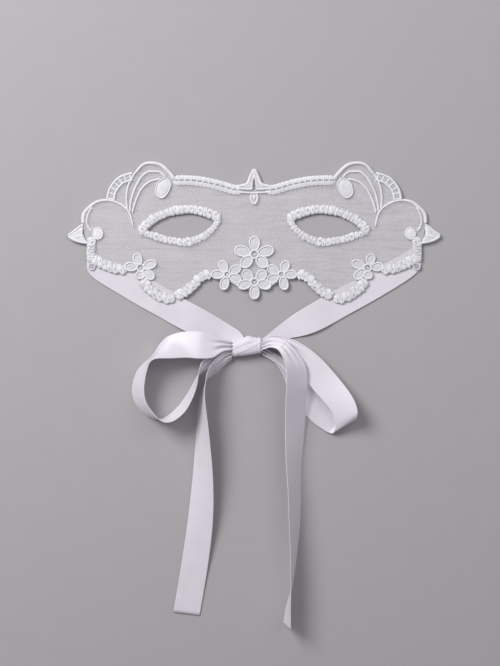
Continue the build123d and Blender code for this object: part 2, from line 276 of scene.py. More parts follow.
# tulle: a net of small six-sided holes, see-through between its threads
def tulleNetting(name, look):
    material, tree, shader = newMaterial(name)
    link = tree.links.new
    place = addNode(tree, "ShaderNodeTexCoord").outputs["Object"]
    apart = addNode(tree, "ShaderNodeSeparateXYZ")
    turned = addNode(tree, "ShaderNodeCombineXYZ")
    cells = addNode(
        tree, "ShaderNodeTexBrick", Scale=1.0,
        **{"Mortar Size": look["thread"], "Mortar Smooth": 0.4},
        **{"Brick Width": look["cell"][0], "Row Height": look["cell"][1]},
    )
    slubs = addNoise(tree, place, look["slub"])
    # noise drawn out across the mask, for crosswise streaks of painted light and shade on fine wrinkles
    drawn = addNode(tree, "ShaderNodeMapping", Scale=look["wrinkleShadeScale"])
    wrinkleShade = addNoise(tree, drawn.outputs[0], 1.0)
    link(place, apart.inputs[0])
    link(place, drawn.inputs["Vector"])
    across = mathNode(tree, "DIVIDE", apart.outputs[0], metre)
    along = mathNode(tree, "DIVIDE", apart.outputs[1], metre)
    # the upright threads lean in and out, which turns the cells into six-sided holes
    wave = mathNode(tree, "SINE", times(tree, along, 2 * math.pi / look["cell"][0]))
    across = plus(tree, across, times(tree, wave, look["lean"]))
    link(along, turned.inputs[0])
    link(across, turned.inputs[1])
    link(turned.outputs[0], cells.inputs["Vector"])
    thread = times(tree, cells.outputs["Fac"], 1 - look["veil"])
    cover = plus(tree, thread, look["veil"])
    slubby = times(tree, slubs.outputs[0], look["slubs"])
    # crosswise streaks of more and less cover: painted light and shade of fine wrinkles
    wrinkleShaded = times(tree, wrinkleShade.outputs[0], look["wrinkleShade"])
    patchy = plus(tree, plus(tree, slubby, look["cover"]), wrinkleShaded)
    close = addNode(tree, "ShaderNodeAttribute", attribute_name="tone")
    cover = times(tree, cover, close.outputs["Fac"])
    link(times(tree, cover, patchy, clamp=True), shader.inputs["Alpha"])
    tint = mixColour(tree, slubs.outputs[0], look["colour"], darker(look["colour"], 0.9))
    link(tint, shader.inputs["Base Color"])
    setSockets(shader, Roughness=look["roughness"], Sheen_Weight=look["sheen"])
    return material


satinLook = {
    "bright": (0.77, 0.74, 0.79, 1),
    "dim": (0.68, 0.64, 0.71, 1),
    "back": (0.76, 0.72, 0.78, 1),
    "roughness": 0.42,
    "sheen": 0.30,
    "gloss": 0.8,
    "brushed": 0.7,
    "warp": (9.0, 0.35, 1.0),  # per mm across and along
    "cloud": 0.12,  # brighter and dimmer places per mm
    "pick": 1.6,  # weft threads that show faintly between the warps
    "pickDepth": 0.25,
    "warpDepth": 0.12,
    "bumpDepth": 0.00008,
    "unevenGloss": 0.1,
    "mattBack": 0.22,
}


# satin ribbon: long floating warps that shine along the ribbon, matt on the back
def satinRibbon(name, look):
    material, tree, shader = newMaterial(name)
    link = tree.links.new
    flat = addNode(tree, "ShaderNodeUVMap", uv_map="weave").outputs[0]
    stretch = addNode(tree, "ShaderNodeMapping", Scale=look["warp"])
    warps = addNoise(tree, stretch.outputs[0], 1.0, 3.0)
    clouds = addNoise(tree, flat, look["cloud"])
    picks = addNode(tree, "ShaderNodeTexWave", Scale=look["pick"], Distortion=0.6, bands_direction="Y")
    face = addNode(tree, "ShaderNodeAttribute", attribute_name="tone")
    bump = addNode(tree, "ShaderNodeBump", Strength=look["warpDepth"], Distance=look["bumpDepth"])
    link(flat, stretch.inputs["Vector"])
    link(flat, picks.inputs["Vector"])
    shade = plus(tree, warps.outputs[0], clouds.outputs[0])
    shade = mathNode(tree, "SUBTRACT", shade, 0.5, clamp=True)
    front = mixColour(tree, shade, look["dim"], look["bright"])
    link(mixColour(tree, face.outputs["Fac"], look["back"], front), shader.inputs["Base Color"])
    back = mathNode(tree, "SUBTRACT", 1.0, face.outputs["Fac"])
    matt = times(tree, back, look["mattBack"])
    dull = times(tree, warps.outputs[0], look["unevenGloss"])
    rough = plus(tree, dull, look["roughness"] - look["unevenGloss"] / 2)
    link(plus(tree, rough, matt), shader.inputs["Roughness"])
    weft = times(tree, picks.outputs["Fac"], look["pickDepth"])
    link(plus(tree, warps.outputs[0], weft), bump.inputs["Height"])
    link(bump.outputs[0], shader.inputs["Normal"])
    setSockets(shader, Sheen_Weight=look["sheen"], Anisotropic=look["brushed"])
    setSockets(shader, Specular_IOR_Level=look["gloss"])
    across = addNode(tree, "ShaderNodeTangent", direction_type="UV_MAP", uv_map="weave")
    link(across.outputs[0], shader.inputs["Tangent"])
    return material


sewingLook = {**threadLook, "light": (0.8, 0.8, 0.84, 1), "sheen": 0.1}

print("materials")
thread = embroideryThread("embroideryThread", threadLook)
stitchThread = embroideryThread("sewingThread", sewingLook)
tulle = tulleNetting("tulleNetting", tulleLook)
satin = satinRibbon("satinRibbon", satinLook)


# stitches

# underside and top of the lace, in mm
onNet = (0.04, 2.12)
overRibbon = (0.80, 2.12)
thinCord = (0.30, 1.75)


# a steady but uneven number from 0 to 1 for the n-th stitch
def uneven(n):
    return np.modf(np.abs(np.sin(n * 12.9898 + 4.1) * 43758.5453))[0]


# rounded ridges of thread with narrow gaps, one to each whole number
def ridges(number):
    return np.abs(np.sin(np.pi * number)) ** 0.6


# thread wound closely across a cord
def wound(pitch=0.5, lean=0.25, depth=0.16, tone=(0.5, 1.0)):
    def pattern(along, across):
        ridge = ridges(along / pitch + lean * across)
        # its tone is painted: lighter on each ridge as a painted highlight, darker in the grooves as painted
        # shade
        return 1 - depth * (1 - ridge), np.ones_like(ridge), tone[0] + (tone[1] - tone[0]) * ridge
    return pattern


# flat fill stitches, greyer than the raised ones: painted shade where they lie low under and between raised
# stitching
def flatFill(level):
    return wound(pitch=0.8, lean=0.4, depth=0.1, tone=(level, level + 0.25))


# a row of plump curls of thread side by side, no two alike
def looped(pitch=2.9, lean=0.12, scallop=0.16, dimple=0.28, reels=3):
    def pattern(along, across):
        wander = 0.15 * np.sin(along * 0.9) + 0.08 * np.sin(along * 2.3 + 1)
        phase = along / pitch + wander + lean * across
        number = np.floor(phase)
        inside = 2 * (phase - number) - 1
        pillow = np.clip(1 - np.abs(inside) ** 2.4, 0, 1) ** 0.6
        # each curl's eye sits a little off its middle, and the thread winds round it
        eyeAlong = inside - 0.6 * (uneven(number + 3) - 0.5)
        eyeAcross = across - 0.9 * (uneven(number + 17) - 0.5)
        out = np.hypot(eyeAlong * 1.1, eyeAcross)
        dip = np.exp(-((out / 0.28) ** 2))
        rim = np.exp(-(((out - 0.6) / 0.26) ** 2))
        ridge = np.abs(np.sin(reels * np.arctan2(eyeAcross, eyeAlong))) ** 0.7 * np.clip(out * 2, 0, 1)
        swell = 0.8 + 0.4 * uneven(number)
        bulge = 0.70 + 0.24 * pillow * swell + 0.07 * rim - dimple * dip - 0.10 * (1 - ridge)
        side = uneven(number + 57 * (across > 0))
        spread = 1 - scallop + scallop * 1.6 * pillow * (0.5 + side)
        # painted highlights on each curl's top and rim and on the thread's ridges, and painted shade in its
        # eye and between the ridges
        tone = 0.34 + 0.24 * pillow * swell + 0.26 * rim - 0.42 * dip + 0.22 * ridge
        return bulge, spread, np.clip(tone, 0, 1)
    return pattern


# two scalloped rows with a dashed slit between them
def twinRows(pitch=2.6, slit=3.6):
    def pattern(along, across):
        row = np.abs(across)
        phase = along / pitch + 0.5 * (across > 0)
        number = np.floor(phase) + 31 * (across > 0)
        inside = 2 * (phase - np.floor(phase)) - 1
        place = (row - 0.55) / 0.45
        curl = np.hypot(inside * 0.9, place * 0.9)
        rim = np.exp(-(((curl - 0.6) / 0.25) ** 2))
        pillow = np.clip(1 - np.abs(inside) ** 3, 0, 1) ** 0.6
        dash = (np.abs(np.sin(np.pi * along / slit)) > 0.5) * np.exp(-((row / 0.12) ** 2))
        cord = np.exp(-(((row - 0.93) / 0.12) ** 2))
        ridge = ridges(along / 0.42 + across)
        bulge = 0.76 + 0.07 * pillow + 0.1 * rim + 0.07 * cord - 0.5 * dash - 0.05 * (1 - ridge)
        spread = 0.94 + 0.09 * pillow * (0.7 + 0.6 * uneven(number))
        # painted highlights on the curls' rims, the edge cords and the ridges, and painted shade in the
        # dashed slit and between the ridges
        tone = 0.42 + 0.12 * pillow + 0.32 * rim + 0.2 * cord - 0.9 * dash + 0.14 * ridge
        return bulge, spread, np.clip(tone, 0, 1)
    return pattern


cordSection = {
    "widest": 0.42,  # share of its height
    "square": (0.9, 0.75),  # across and up, less than 1 is squarer than round
    "end": 0.02,  # how blunt its ends are
}


# a raised line of stitching between two side lines
def stitchBetween(work, sideA, sideB, heights, pattern, closed=False, columns=14):
    low, high = heights
    middle = (sideA + sideB) / 2
    half = (sideB - sideA) / 2
    along = distances(middle)
    if closed:
        ease = np.ones(len(middle))
    else:
        reach = np.linalg.norm(half, axis=1).max()
        nearest = np.minimum(along, along[-1] - along) / reach
        ease = np.sqrt(np.clip(1 - (1 - np.clip(nearest, 0, 1)) ** 2, cordSection["end"], 1))
    turn = 2 * np.pi * np.arange(columns) / columns
    across = squared(np.cos(turn), cordSection["square"][0])
    rise = squared(np.sin(turn), cordSection["square"][1])
    bulge, spread, tone = pattern(along[:, None], across[None, :])
    wide = across[None, :] * spread * ease[:, None]
    centre = low + (high - low) * cordSection["widest"]
    up = np.where(rise > 0, (high - centre) * bulge, centre - low) * rise * ease[:, None]
    flat = middle[:, None, :] + half[:, None, :] * wide[..., None]
    grid = np.dstack([flat, (centre + up)[..., None]])
    addGrid(work, grid, tone, wrapAlong=closed)


# a raised line of stitching along a path
def stitchAlong(
    work, path, width, pattern, heights=onNet, endWidth=None, closed=False, step=0.17, columns=12,
):
    line = evenly(smoothLine(path, closed), step, closed)
    share = np.linspace(0, 1, len(line))
    wide = width if endWidth is None else width + (endWidth - width) * share
    sideA, sideB = sidesOf(line, wide, closed)
    stitchBetween(work, sideA, sideB, heights, pattern, closed, columns)


padSection = {
    "edge": 0.35,  # share of its height that it has at its edge
    "grooves": 0.14,  # and that the gaps between its stitches take away
}


# a satin-stitched pad inside an outline that is seen whole from its centre
def stitchPad(
    work, outline, centre, angle, heights=onNet, tone=(0.35, 0.75), pitch=0.55, rings=14, smooth=True,
):
    low, high = heights
    line = smoothLine(outline, closed=True, steps=6) if smooth else np.array(outline, float)
    line = evenly(line, 0.45, closed=True)
    out = np.r_[np.linspace(0.03, 1, rings), 1.0]
    flat = np.array(centre) + out[:, None, None] * (line - np.array(centre))[None]
    dome = 1 - out**5
    direction = np.array([math.cos(math.radians(angle)), math.sin(math.radians(angle))])
    ridge = ridges((flat @ direction) / pitch)
    rise = padSection["edge"] + (1 - padSection["edge"]) * dome
    height = low + (high - low) * rise[:, None] * (1 - padSection["grooves"] * (1 - ridge))
    height[-1] = low
    # painted highlight on the ridges of its stitches and painted shade in the grooves between them
    level = tone[0] + (tone[1] - tone[0]) * ridge
    addGrid(work, np.dstack([flat, height[..., None]])[::-1], level[::-1])

# embroidery: each piece is a dictionary of its pads and cords, drawn on the left half

cordWidth = 1.25


def cord(path, width, stitches=None, **more):
    return stitchAlong, dict(path=path, width=width, pattern=stitches or wound(), **more)


def pad(outline, centre, angle, **more):
    return stitchPad, dict(outline=outline, centre=centre, angle=angle, **more)


# an outline drawn nearer to its centre
def inset(outline, centre, share):
    return np.array(centre) + (np.array(outline) - centre) * share


def roundOutline(centre, radii, count):
    turn = np.linspace(0, 2 * np.pi, count, endpoint=False)
    return np.array(centre) + np.array(radii) * np.stack([np.cos(turn), np.sin(turn)], 1)


eyeLook = {
    "hole": [
        (-63.7, -18), (-56.2, -12.2), (-48.5, -9.2), (-39.1, -8.2), (-31.3, -9.5), (-24.2, -12.8),
        (-26.8, -16.4), (-30.2, -19.1), (-35.2, -21.6), (-42.8, -23.2), (-52.4, -21.8), (-58.1, -19.9),
    ],
    "outside": [
        (-70.7, -18.6), (-62.3, -9.5), (-56.2, -6.5), (-48.5, -4.2), (-40.3, -3.2), (-33.2, -3.7),
        (-27.5, -5), (-22.6, -7.3), (-18.2, -10.8), (-21, -15.3), (-25.6, -21.4), (-31.3, -24.9),
        (-37.1, -27.4), (-42.1, -28), (-48.5, -27), (-56.2, -25.3), (-63.8, -22.6),
    ],
    "corners": {"hole": 5, "outside": 8},  # the point where each outline turns at the nose
    "steps": 10,  # from point to point
    "rows": 300,  # along its upper side, and again along its lower
}


# the places on a closed line nearest to some points, drawn out evenly
def nearestOn(line, points, reach=3):
    fine = evenly(line, 0.05, closed=True)
    near = fine[np.array([np.linalg.norm(fine - point, axis=1).argmin() for point in points])]
    spread = [np.roll(near, shift, axis=0) for shift in range(-reach, reach + 1)]
    return np.mean(spread, axis=0)


def eyeEdging(look):
    halves = []
    for edge, corner in look["corners"].items():
        loop = smoothLine(look[edge], closed=True, steps=look["steps"])
        turn = corner * look["steps"]
        runs = (loop[: turn + 1], np.vstack([loop[turn:], loop[:1]]))
        halves.append(np.vstack([evenly(run, 1, count=look["rows"])[:-1] for run in runs]))
    # the curls stand square to the edging's middle
    middle = (halves[0] + halves[1]) / 2
    sideA, sideB = (nearestOn(half, middle) for half in halves)
    curls = dict(sideA=sideA, sideB=sideB, heights=onNet, pattern=looped(), closed=True, columns=18)
    return {"curls": (stitchBetween, curls)}


ladderLook = {
    "path": [(-86.1, -0.4), (-85.3, 4.2), (-83.2, 8.1), (-79.6, 11.7), (-74.5, 13.6), (-72, 13.9)],
    "width": 4.0,
    "cords": (1.6, 1.5),  # outer and inner
    "fill": 3.6,
    "bars": 7,
    "bar": 1.15,
}


def ladderScallop(look):
    line = evenly(smoothLine(look["path"]), 0.3)
    inner, outer = sidesOf(line, look["width"])
    strokes = {
        # the fill is a flat grey pad under the cords and bars: the net's colour darkened with painted shade
        # in the ladder's windows
        "fill": cord(look["path"], look["fill"], flatFill(0.22), heights=(0.04, 1.54), columns=10),
        "outer": cord(outer[::4], look["cords"][0], wound(lean=0.4)),
        "inner": cord(inner[::4], look["cords"][1], wound(lean=0.4), heights=(0.04, 2.02)),
    }
    bars = look["bars"]
    for bar in range(bars):
        at = int((bar + 0.35) / bars * (len(line) - 1))
        rung = [outer[at], line[at], inner[at]]
        strokes[f"bar {bar}"] = cord(rung, look["bar"], wound(0.4), heights=(0.34, 1.87), step=0.25)
    return strokes


petalLook = {
    "rim": 1.1,
    "fill": (0.80, 1.67),  # underside and top, lower than the rim
    "fillTone": (0.25, 0.85),
    "ring": 1.2,
    "spokes": (20, 95, 160),  # degrees
    "spoke": 0.35,
}
flowerLook = {
    "nose_flower_top": {
        "centre": (0.2, -32.6), "ring": 2.7, "petal": 7.2,
        "tips": [(0.2, -21.6), (-12, -29.6), (12, -29.6), (-7.8, -40.3), (7.8, -40.3)],
    },
    "nose_flower_bottom": {
        "centre": (0.2, -49.3), "ring": 2.5, "petal": 6.5,
        "tips": [(-6.8, -42.4), (7.2, -42.4), (-10, -51.8), (10.4, -51.8), (0.2, -59.8)],
    },
    "nose_flower": {
        "centre": (-16.3, -44.7), "ring": 2.2, "petal": 6.0,
        "tips": [(-19.9, -36.4), (-7.9, -39.9), (-26, -44.7), (-7.6, -48.7), (-18.8, -54.2)],
    },
    "cheek_flower": {
        "centre": (-68.0, -40.7), "ring": 2.5, "petal": 6.0,
        "tips": [(-71, -32.1), (-58.4, -37.4), (-59.9, -47.4), (-77.8, -39.8), (-68.5, -47.8)],
    },
}


# five petals round a ring: a bright cord round each, with looser satin stitch inside
def flower(name):
    look = flowerLook[name]
    middle = np.array(look["centre"])
    turn = np.linspace(0, 2 * np.pi, 14, endpoint=False)
    raised = dict(heights=overRibbon, closed=True, columns=10)
    strokes = {}
    for petal, tip in enumerate(look["tips"]):
        run = np.array(tip) - middle
        length = np.linalg.norm(run)
        ahead = run / length
        aside = np.array([-ahead[1], ahead[0]])
        start = look["ring"] - 0.3
        rim = petalLook["rim"] / 2
        reach = (length - rim - start) / 2
        # wider towards the tip, as a leaf is
        along = start + reach * (1 - np.cos(turn))
        wide = (look["petal"] / 2 - rim) * np.sin(turn) * (0.97 - 0.08 * np.cos(turn))
        outline = middle + along[:, None] * ahead + wide[:, None] * aside
        heart = middle + ahead * (start + reach * 1.1)
        slant = math.degrees(math.atan2(ahead[1], ahead[0])) + 14
        fill = dict(tone=petalLook["fillTone"], pitch=0.85, rings=11, heights=petalLook["fill"])
        strokes[f"fill {petal}"] = pad(outline, heart, slant, **fill)
        strokes[f"rim {petal}"] = cord(outline, petalLook["rim"], wound(0.45), **raised)
    ring = roundOutline(middle, look["ring"] - 0.4, 14)
    strokes["ring"] = cord(ring, petalLook["ring"], wound(0.45), **raised)
    for angle in petalLook["spokes"]:
        spoke = math.radians(angle) + middle[0]  # turned differently in each flower
        arm = (look["ring"] - 0.8) * np.array([math.cos(spoke), math.sin(spoke)])
        path = [middle - arm, middle, middle + arm]
        strokes[f"spoke {angle}"] = cord(path, petalLook["spoke"], wound(0.4), heights=(1, 1.4), step=0.2)
    return strokes


seamLook = {
    "stitches": 4,
    "first": -32.9,
    "apart": 1.7,
    "width": 0.5,
}


def seamStitches(look):
    strokes = {}
    for stitch in range(look["stitches"]):
        y = look["first"] + look["apart"] * stitch
        path = [(-99, y), (-97.4, y + 0.1), (-95.8, y)]
        strokes[stitch] = cord(path, look["width"], wound(0.3), heights=(2.12, 2.48), step=0.2)
    return strokes


# the right side of the crown at the middle of the brow
crownLook = {
    "pad": [
        (0.1, 18), (2.4, 13.6), (3.6, 10.2), (8.4, 8.4), (8.4, 6.2), (1.1, 6.2), (0.7, 10.6), (0.1, 13.2),
    ],
    "gable": [(0, 18.5), (2.2, 14.2), (3.4, 10.9), (5, 9.1), (9.8, 8)],
    "slot": [(0, 14.6), (1, 11.6), (1.4, 8.4), (1.6, 6.5), (5, 6.4), (9.8, 6.7)],
}


def crownSide(side):
    middle, edge, slot = (np.array(crownLook[part]) * (side, 1) for part in ("pad", "gable", "slot"))
    fill = dict(tone=(0.35, 0.8), heights=(0.04, 1.82), smooth=False)
    return {
        f"pad {side}": pad(middle, (2.1 * side, 9.2), 62, **fill),
        f"gable {side}": cord(edge, 1.9),
        f"slot {side}": cord(slot, 1.2),
    }


dropPetal = [(1.3, 3.4), (2.1, 1.2), (1.4, -1.2), (0.2, -3)]
middlePieces = {
    "centre_finial": {
        **crownSide(-1),
        **crownSide(1),
        "peak": cord([(0, 18.2), (0, 13.6)], 1.8, wound(lean=0.6), heights=(0.04, 2.02)),
        # the gap is a low flat strip painted dark: painted shade down the slot between the crown's two sides
        "gap": cord([(0, 12.6), (0, 4.4)], 1.8, flatFill(-0.1), heights=(0.04, 0.94)),
        "foot": cord(
            [(-10.2, 4.6), (-4.5, 4.3), (0, 4.1), (4.5, 4.3), (10.2, 4.6)], 1.3, heights=(0.04, 2.02),
        ),
    },
    "finial_drop": {
        "fill": pad(
            [(-1.9, 3.4), (-2.9, 1.2), (-1.9, -1.6), (0, -3.7), (1.9, -1.6), (2.9, 1.2), (1.9, 3.4)],
            (0, 0.3), 85, tone=(0.3, 0.6), rings=10, smooth=False, heights=(0.04, 1.62),
        ),
        "left petal": cord(np.array(dropPetal) * (-1, 1), 1.5, wound(0.45), columns=10),
        "right petal": cord(dropPetal, 1.5, wound(0.45), columns=10),
        "heart": cord([(0, 3.2), (0, -0.4)], 2.6, wound(0.45), endWidth=1.4),
    },
    "nose_flower_top": flower("nose_flower_top"),
    "nose_flower_bottom": flower("nose_flower_bottom"),
}
bulb = [
    (-52.9, 13.5), (-49.7, 10.4), (-50, 7.1), (-51.8, 3.4), (-54.9, 0.7),
    (-58, 1.6), (-59.5, 4.3), (-58.9, 8.6), (-57.4, 11.1),
]
bulbCentre = (-54.6, 6.8)
knobCentre = (-93.7, -20.3)
knob = roundOutline(knobCentre, (3.5, 3.9), 12)
eyeletCentre = (-97.4, -40)
eyelet = roundOutline(eyeletCentre, 2.0, 10)
hemCurls = dict(
    width=5.6, stitches=looped(pitch=3.3, lean=0.3, scallop=0.22, dimple=0.38),
    heights=overRibbon, columns=24,
)
wingCord = dict(width=1.5, heights=overRibbon)
wingCurls = dict(width=2.4, stitches=looped(pitch=2.3, lean=0.6), heights=overRibbon)
mirroredPieces = {
    "nose_flower": flower("nose_flower"),
    "brow_band": {"rows": cord(
        [(-48.6, 11.6), (-38.5, 11.6), (-30.4, 10.7), (-22.8, 9.1), (-16.9, 7.4), (-12, 6.1), (-7, 5.9)],
        6.0, twinRows(), columns=32,
    )},
    "scroll_bulb": {
        "fill": pad(bulb, bulbCentre, 65, tone=(0.5, 0.9), rings=22, heights=(0.04, 2.02)),
        "rim": cord(inset(bulb, bulbCentre, (0.9, 0.92)), 0.9, heights=(0.34, 2.12), closed=True),
    },
    "scroll_arch": {
        "arch": cord([
            (-47.8, 12.3), (-50.8, 16.2), (-55.9, 20.8), (-61.9, 22.1),
            (-66.6, 21), (-70.4, 17.1), (-72.1, 15.3),
        ], 2.5, wound(lean=0.5), endWidth=1.5),
        "stem": cord(
            [(-71.6, 16), (-74.9, 9.8), (-76.4, 3.7), (-76.4, -2.4), (-75.8, -5.5)],
            cordWidth, heights=(0.34, 1.82),
        ),
    },
    "ladder_scallop": ladderScallop(ladderLook),
    "scroll_stems": {
        "outer": cord([
            (-53.1, 13.6), (-56.2, 16.4), (-60.7, 17), (-63.8, 16.6), (-67.5, 13.6),
            (-70.9, 8), (-73, 2.5), (-74.3, -3.6), (-74.2, -7),
        ], cordWidth, heights=thinCord),
        "inner": cord([
            (-56.2, 12.6), (-60.1, 11.7), (-63.8, 10.1), (-67.5, 6.5),
            (-69.9, 1.9), (-71.8, -3), (-73, -7.9),
        ], cordWidth, heights=thinCord),
    },
    "eye_edging": eyeEdging(eyeLook),
    "side_knob": {
        "fill": pad(knob, knobCentre, 20, tone=(0.6, 1.0), pitch=0.7, rings=16),
        "rim": cord(inset(knob, knobCentre, 0.84), 1.1, heights=(0.04, 2.07), closed=True),
    },
    "wing_tip": {
        "fill": pad([
            (-111.6, -21.4), (-108, -19), (-104.4, -16.2), (-102.3, -15.3), (-102.6, -20.2),
            (-101.2, -23.6), (-99.6, -26), (-105.2, -25), (-109.2, -23.4),
        ], (-104.6, -21.2), 80, tone=(0.75, 1.0), pitch=0.9, smooth=False, heights=(0.80, 1.97)),
        "upper": cord([(-111.5, -21.4), (-108, -18.9), (-104.2, -15.9), (-102.2, -15)], **wingCord),
        "lower": cord([(-111.5, -21.5), (-109, -23.5), (-105, -25.1), (-99.4, -26)], **wingCord),
        "upper curls": cord([(-109.2, -21.4), (-106.2, -19.9), (-103.4, -18.2)], **wingCurls),
        "lower curls": cord([(-108.2, -22), (-105.2, -22.1), (-101.8, -22)], **wingCurls),
    },
    "shoulder_arc": {
        "arc": cord([
            (-102.6, -14.4), (-102.2, -8.5), (-98.2, -3.9), (-93.9, -1.1), (-89, -0.2), (-84.7, -0.7),
            (-80.7, -2.4), (-77, -4.9), (-74.6, -8.2), (-73.4, -12.2), (-72.5, -16.4),
        ], 2.3, wound(lean=0.4), endWidth=1.1, heights=(0.04, 1.75)),
        "inner": cord(
            [(-97.2, -4.4), (-99.4, -8.4), (-100.3, -12.8), (-99.6, -16.1), (-97.4, -19)],
            cordWidth, heights=thinCord,
        ),
    },
    "side_band": {
        "curls": cord(
            [(-97.3, -22), (-97.7, -30), (-97.6, -37.6)], 5.4,
            looped(pitch=2.6, lean=0.4, scallop=0.05, dimple=0.12), heights=overRibbon, columns=24,
        ),
        # the eyelet's middle is a dark flat pad: painted shade in its hollow
        "eyelet": pad(eyelet, eyeletCentre, 30, tone=(0.15, 0.35), rings=6, heights=(0.80, 1.30)),
        "eyelet rim": cord(eyelet, 0.7, wound(0.45), heights=(0.80, 1.50), closed=True, columns=10),
    },
    "cheek_flower": flower("cheek_flower"),
    "cheek_edging": {
        "side": cord(
            [(-96.8, -34.8), (-93.1, -37.1), (-87.3, -40.1), (-81.5, -41.6), (-75.8, -41.3)], **hemCurls,
        ),
        "lobe": cord(
            [(-66.9, -47.4), (-64.3, -51.6), (-60.5, -55.4), (-55.6, -58.3), (-50.2, -59.2), (-47.8, -58.2)],
            **hemCurls,
        ),
    },
    "nose_edging": {
        "hem": cord([
            (-47.4, -58), (-43, -55.9), (-38.6, -53.3), (-35, -49.6),
            (-32, -46.3), (-28.6, -45.1), (-25.6, -45),
        ], **hemCurls),
        "cord": cord([(-13.9, -48.7), (-6.8, -53.2)], cordWidth, heights=(0.80, 1.82)),
    },
    "seam_stitches": seamStitches(seamLook),
}


def lacePiece(node, strokes, mirror=False):
    work = newWork()
    for stitch, look in strokes.values():
        stitch(work, **look)
    sewing = node.endswith("seam_stitches")
    material, slot = (stitchThread, "sewing_thread") if sewing else (thread, "embroidery")
    piece = makePiece(work, node + "_lace", material, mirror)
    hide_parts(node)
    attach(piece, "mask")


print("embroidery")
for node, strokes in middlePieces.items():
    lacePiece(node, strokes)
for node, strokes in mirroredPieces.items():
    lacePiece("left_" + node, strokes)
    lacePiece("right_" + node, strokes, mirror=True)


# net

netLook = {
    # its left half, from the finial round to the nose
    "outline": [
        (-8.5, 6.3), (-17.5, 7.5), (-29.5, 10.5), (-38.5, 11.7), (-47.5, 11.7),
        (-52, 17.5), (-57.4, 21.7), (-61.6, 22), (-66.4, 20.9), (-71.8, 14.6),
        (-75, 14.4), (-79.9, 12.2), (-83.8, 8.4), (-86, 4), (-86.8, -0.6), (-88.9, -0.9),
        (-93.7, -1.6), (-97.9, -4.4), (-101.7, -9), (-102.7, -15.6), (-101.2, -23.4),
        (-97.9, -27.6), (-97.3, -35.2), (-93.1, -37.1), (-87.3, -40.1), (-81.5, -41.6),
        (-75.8, -41.3), (-71.5, -43.2), (-67.3, -45.6), (-64.3, -51.6), (-60.5, -55.4),
        (-55.6, -58.3), (-50.2, -59.2), (-46.9, -57), (-42.7, -54), (-37.9, -51),
        (-33.7, -47.4), (-29.5, -44.7), (-24.7, -44.7), (-18.7, -49.8), (-13.3, -49.2),
        (-6.7, -53.2),
    ],
    "foot": (0, -54.6),
    "height": 1.05,
    "spacing": 1.5,
    "rimStep": 2,
    "across": (-104, 104),  # what the loose points between its rims cover
    "down": (-60, 24),
    "ripple": 0.10,
    "closer": 1.6,  # how much closer the net lies in its creases
    # creases left from folding: two ends, height and width
    "creases": [
        ((6, 0), (34, 2), 0.35, 1.3), ((-30, 4), (-14, 9), 0.30, 1.2), ((-98, -10), (-72, -12), 0.3, 1.4),
        ((72, -14), (98, -10), 0.35, 1.5), ((-60, -34), (-30, -36), 0.2, 1.6), ((60, 2), (84, -4), 0.3, 1.4),
    ],
}


# how high the folding creases stand at some points
def creaseHeight(x, y):
    z = np.zeros_like(x)
    for start, end, high, wide in netLook["creases"]:
        run = np.subtract(end, start)
        share = np.clip(((x - start[0]) * run[0] + (y - start[1]) * run[1]) / (run @ run), 0, 1)
        away = np.hypot(x - start[0] - share * run[0], y - start[1] - share * run[1])
        z = z + high * np.exp(-((away / wide) ** 2)) * np.sin(np.pi * (0.1 + 0.8 * share))
    return z


def netHeight(x, y):
    ripple = netLook["ripple"] * np.sin(x / 7.3 + 0.6 * np.sin(y / 9)) * np.sin(y / 5.1)
    return netLook["height"] + ripple + creaseHeight(x, y)


def insideOutline(points, outline):
    x, y = points[:, 0], points[:, 1]
    inside = np.zeros(len(points), bool)
    for (ax, ay), (bx, by) in zip(outline, np.roll(outline, -1, 0)):
        crosses = (ay > y) != (by > y)
        with np.errstate(divide="ignore", invalid="ignore"):
            inside ^= crosses & (x < (bx - ax) * (y - ay) / (by - ay) + ax)
    return inside


def tullePanel(look):
    half = look["outline"]
    outer = np.array(half + [look["foot"]] + [(-x, y) for x, y in half[::-1]])
    holes = [evenly(smoothLine(eyeLook["hole"], closed=True), look["rimStep"], closed=True)]
    holes.append(holes[0] * np.array([-1.0, 1.0]))
    rims = [evenly(outer, look["rimStep"], closed=True)] + holes
    step = look["spacing"]
    xs, ys = np.meshgrid(np.arange(*look["across"], step), np.arange(*look["down"], step))
    xs = xs + step / 2 * (np.arange(len(ys)) % 2)[:, None]
    loose = np.stack([xs.ravel(), ys.ravel()], 1)
    keep = insideOutline(loose, outer)
    for hole in holes:
        keep &= ~insideOutline(loose, hole)
    points, edges = [loose[keep]], []
    count = int(keep.sum())
    for rim in rims:
        edges += [(count + i, count + (i + 1) % len(rim)) for i in range(len(rim))]
        points.append(rim)
        count += len(rim)
    flat = [Vector(point) for point in np.concatenate(points).tolist()]
    found = geometry.delaunay_2d_cdt(flat, edges, [], 1, 1e-5)
    corners = np.array([tuple(v) for v in found[0]])
    faces = [list(face) for face in found[2]]
    middles = np.array([corners[face].mean(0) for face in faces])
    inside = insideOutline(middles, outer)
    for hole in holes:
        inside &= ~insideOutline(middles, hole)
    work = newWork()
    work["points"] = [np.column_stack([corners, netHeight(corners[:, 0], corners[:, 1])])]
    work["faces"] = [face for face, use in zip(faces, inside) if use]
    work["tone"] = [1 + look["closer"] * creaseHeight(corners[:, 0], corners[:, 1])]
    return makePiece(work, "tulle_ground", tulle)


print("net")
net = tullePanel(netLook)
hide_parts("net_panel")
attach(net, "mask")


# ribbon

ribbonLook = {
    "width": 16.0,
    "thickness": 0.30,
    "selvedge": 0.22,  # half thickness of the woven edges
    "selvedgeFrom": 0.93,  # share of the way out to the edge
    "endThickness": 0.06,
    "clear": 0.22,  # how near its middle comes to what it lies on
    "lie": 0.2,  # and how far a free ribbon's middle is above its underside
    "columns": 41,
    "pleats": 2.2,
    "deepest": 1.0,  # how deep a pleat may be, mm
}


